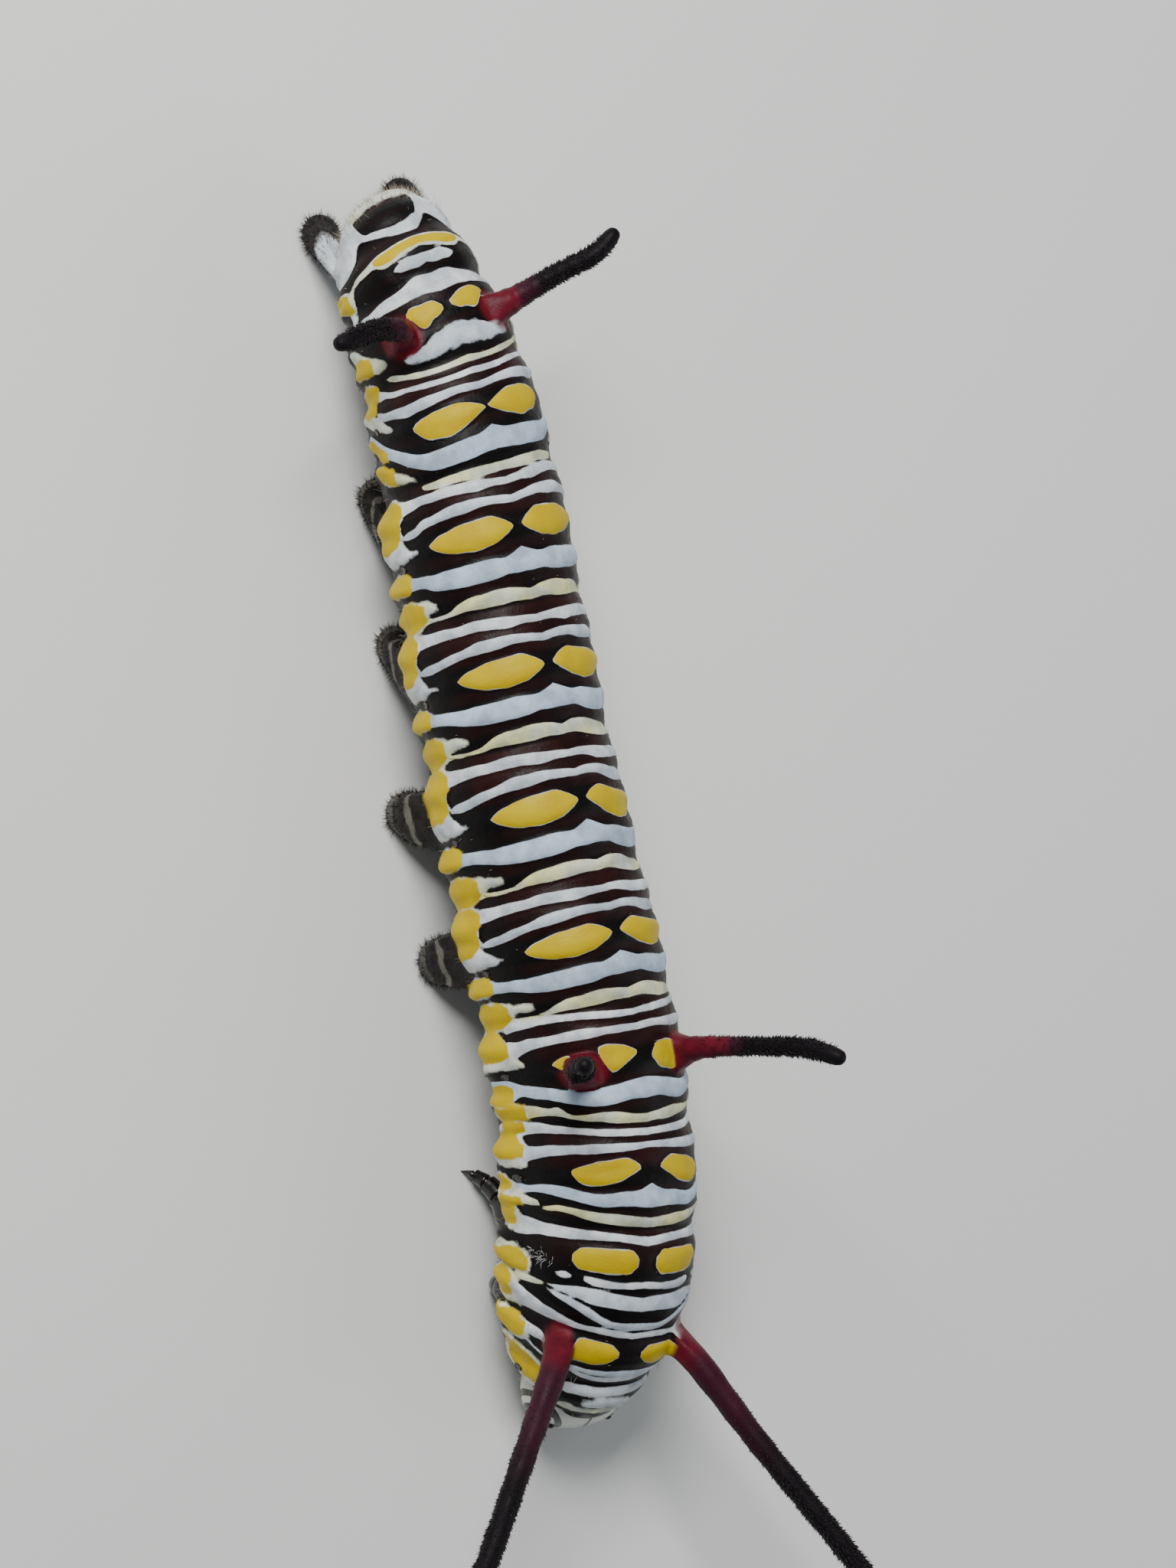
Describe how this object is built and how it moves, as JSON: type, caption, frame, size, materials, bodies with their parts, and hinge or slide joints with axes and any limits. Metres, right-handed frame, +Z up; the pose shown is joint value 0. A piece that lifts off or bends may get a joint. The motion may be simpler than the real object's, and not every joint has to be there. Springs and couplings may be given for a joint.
{
  "type": "plain tiger butterfly larva",
  "caption": "Still, life-size model of the larva of a plain tiger butterfly: banded ringed body, fleshy feelers on its back, short claws in front and soft prolegs behind.",
  "frame": {"origin": "on the floor under the middle of the whole outline", "axes": "+Z up, the head towards -Y, the animal's right flank towards -X"},
  "size_m": [0.0172, 0.0466, 0.0112],
  "materials": {
    "skin": "smooth soft skin, bluish white with black bands and yellow spots",
    "filament": "fleshy and finely bristled, crimson at the root and black beyond",
    "horn": "hard glossy black",
    "foot": "black skin with grey rings and short bristles",
    "face": "hard glossy shell, white with black arcs"
  },
  "bodies": {
    "root": {"head": "face", "antenna_left": "horn", "antenna_right": "horn", "prothorax": "skin", "mesothorax": "skin", "metathorax": "skin", "abdomen_1": "skin", "abdomen_2": "skin", "abdomen_3": "skin", "abdomen_4": "skin", "abdomen_5": "skin", "abdomen_6": "skin", "abdomen_7": "skin", "abdomen_8": "skin", "abdomen_9": "skin", "abdomen_10": "skin", "filament_front_left": "filament", "filament_front_right": "filament", "filament_middle_left": "filament", "filament_middle_right": "filament", "filament_rear_left": "filament", "filament_rear_right": "filament", "leg_front_left": "horn", "leg_front_right": "horn", "leg_middle_left": "horn", "leg_middle_right": "horn", "leg_hind_left": "horn", "leg_hind_right": "horn", "proleg_3_left": "foot", "proleg_3_right": "foot", "proleg_4_left": "foot", "proleg_4_right": "foot", "proleg_5_left": "foot", "proleg_5_right": "foot", "proleg_6_left": "foot", "proleg_6_right": "foot", "proleg_tail_left": "foot", "proleg_tail_right": "foot"}
  },
  "joints": []
}
